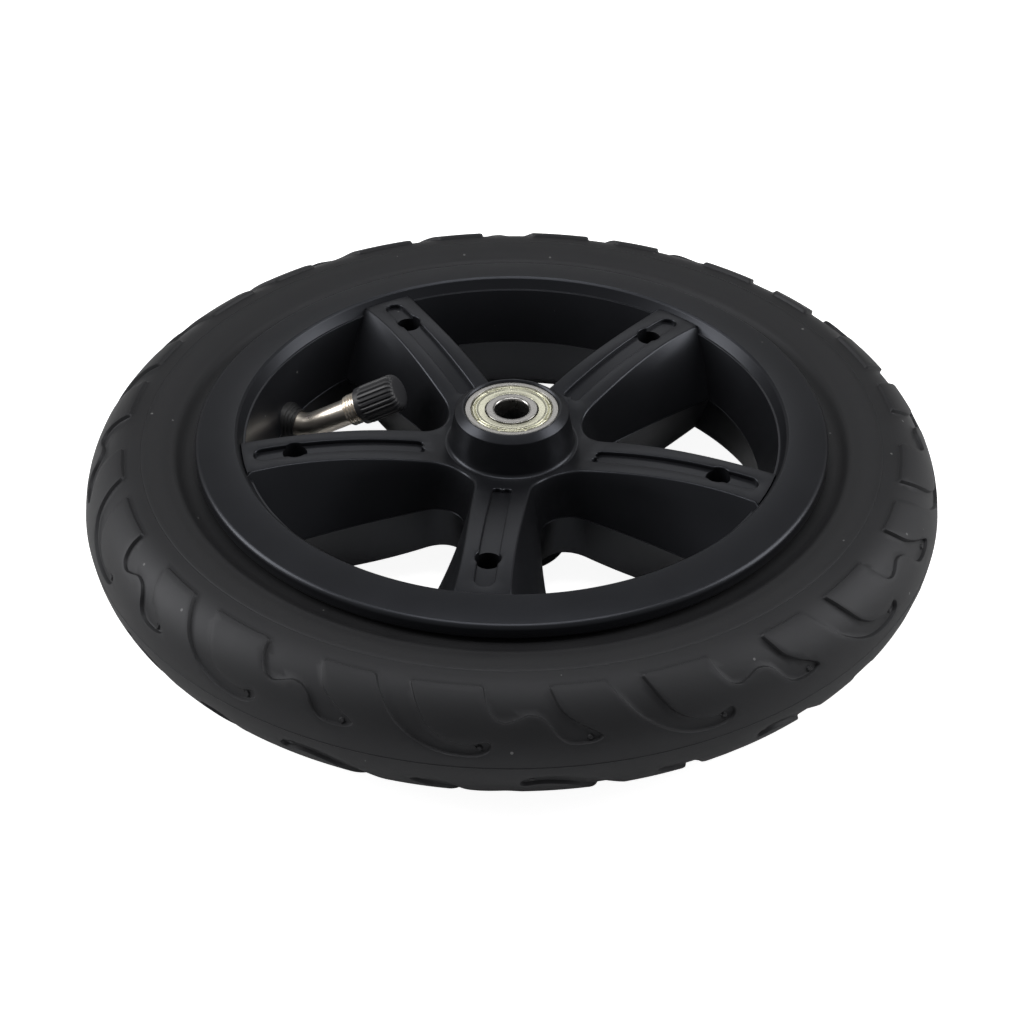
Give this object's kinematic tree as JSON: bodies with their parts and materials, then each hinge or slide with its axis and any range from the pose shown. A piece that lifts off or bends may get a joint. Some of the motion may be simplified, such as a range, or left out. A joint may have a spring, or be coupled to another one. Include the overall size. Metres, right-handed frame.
{
  "type": "pneumatic scooter wheel",
  "caption": "Small pneumatic wheel: black split spoked plastic rim, patterned rubber tyre, shielded ball bearings in the hub and a bent, capped valve in one window.",
  "frame": {"origin": "centre of the wheel: on the axle axis, in the plane where the two rim halves meet", "axes": "+Z along the axle axis towards the front face, the side the valve is bent to; the wheel lies flat and the valve's azimuth is 157.6 degrees from +X"},
  "size_m": [0.2, 0.2, 0.04],
  "materials": {
    "rim_plastic": "satin moulded nylon, fine grain",
    "screw_steel": "zinc plated",
    "tyre_rubber": "moulded rubber, matt",
    "tube_rubber": "matt",
    "wire_steel": "drawn wire",
    "valve_plating": "nickel plated",
    "valve_brass": "turned",
    "cap_plastic": "moulded, ribbed",
    "spacer_steel": "turned tube",
    "ring_steel": "ground",
    "ball_steel": "polished",
    "cage_brass": "pressed",
    "shield_steel": "pressed, faintly yellow plated"
  },
  "bodies": {
    "axle_set": {"bearing_spacer": "spacer_steel", "front_inner_ring": "ring_steel", "back_inner_ring": "ring_steel"},
    "wheel": {"rim_front": "rim_plastic", "rim_back": "rim_plastic", "clamp_screws": "screw_steel", "tyre": "tyre_rubber", "inner_tube": "tube_rubber", "bead_wire_front": "wire_steel", "bead_wire_back": "wire_steel", "valve_collar": "tube_rubber", "valve_stem": "valve_plating", "valve_core": "valve_brass", "valve_spring": "wire_steel", "front_outer_ring": "ring_steel", "front_shield_out": "shield_steel", "front_shield_in": "shield_steel", "back_outer_ring": "ring_steel", "back_shield_out": "shield_steel", "back_shield_in": "shield_steel"},
    "front_ball_set": {"front_balls": "ball_steel", "front_cage": "cage_brass"},
    "back_ball_set": {"back_balls": "ball_steel", "back_cage": "cage_brass"},
    "pin": {"valve_pin": "valve_brass"},
    "cap": {"valve_cap": "cap_plastic"}
  },
  "joints": [
    {"name": "wheel_spin", "type": "hinge", "parent": "axle_set", "child": "wheel", "pos_m": [0, 0, 0], "axis": [0, 0, 1], "continuous": true},
    {"name": "front_balls_roll", "type": "hinge", "parent": "axle_set", "child": "front_ball_set", "pos_m": [0, 0, 0.01607], "axis": [0, 0, 1], "continuous": true},
    {"name": "back_balls_roll", "type": "hinge", "parent": "axle_set", "child": "back_ball_set", "pos_m": [0, 0, -0.01607], "axis": [0, 0, 1], "continuous": true},
    {"name": "pin_press", "type": "slide", "parent": "wheel", "child": "pin", "axis": [-0.8662, 0.1239, -0.4841], "range_m": [0, 0.001], "stiffness_N_per_m": 400, "springref_m": -0.001, "deforming": ["valve_spring"]},
    {"name": "cap_off", "type": "slide", "parent": "wheel", "child": "cap", "axis": [0.8662, -0.1239, 0.4841], "range_m": [0, 0.0083]}
  ],
  "couplings": [
    {"joint": "front_balls_roll", "follows": "wheel_spin", "ratio": 0.6323},
    {"joint": "back_balls_roll", "follows": "wheel_spin", "ratio": 0.6323}
  ]
}
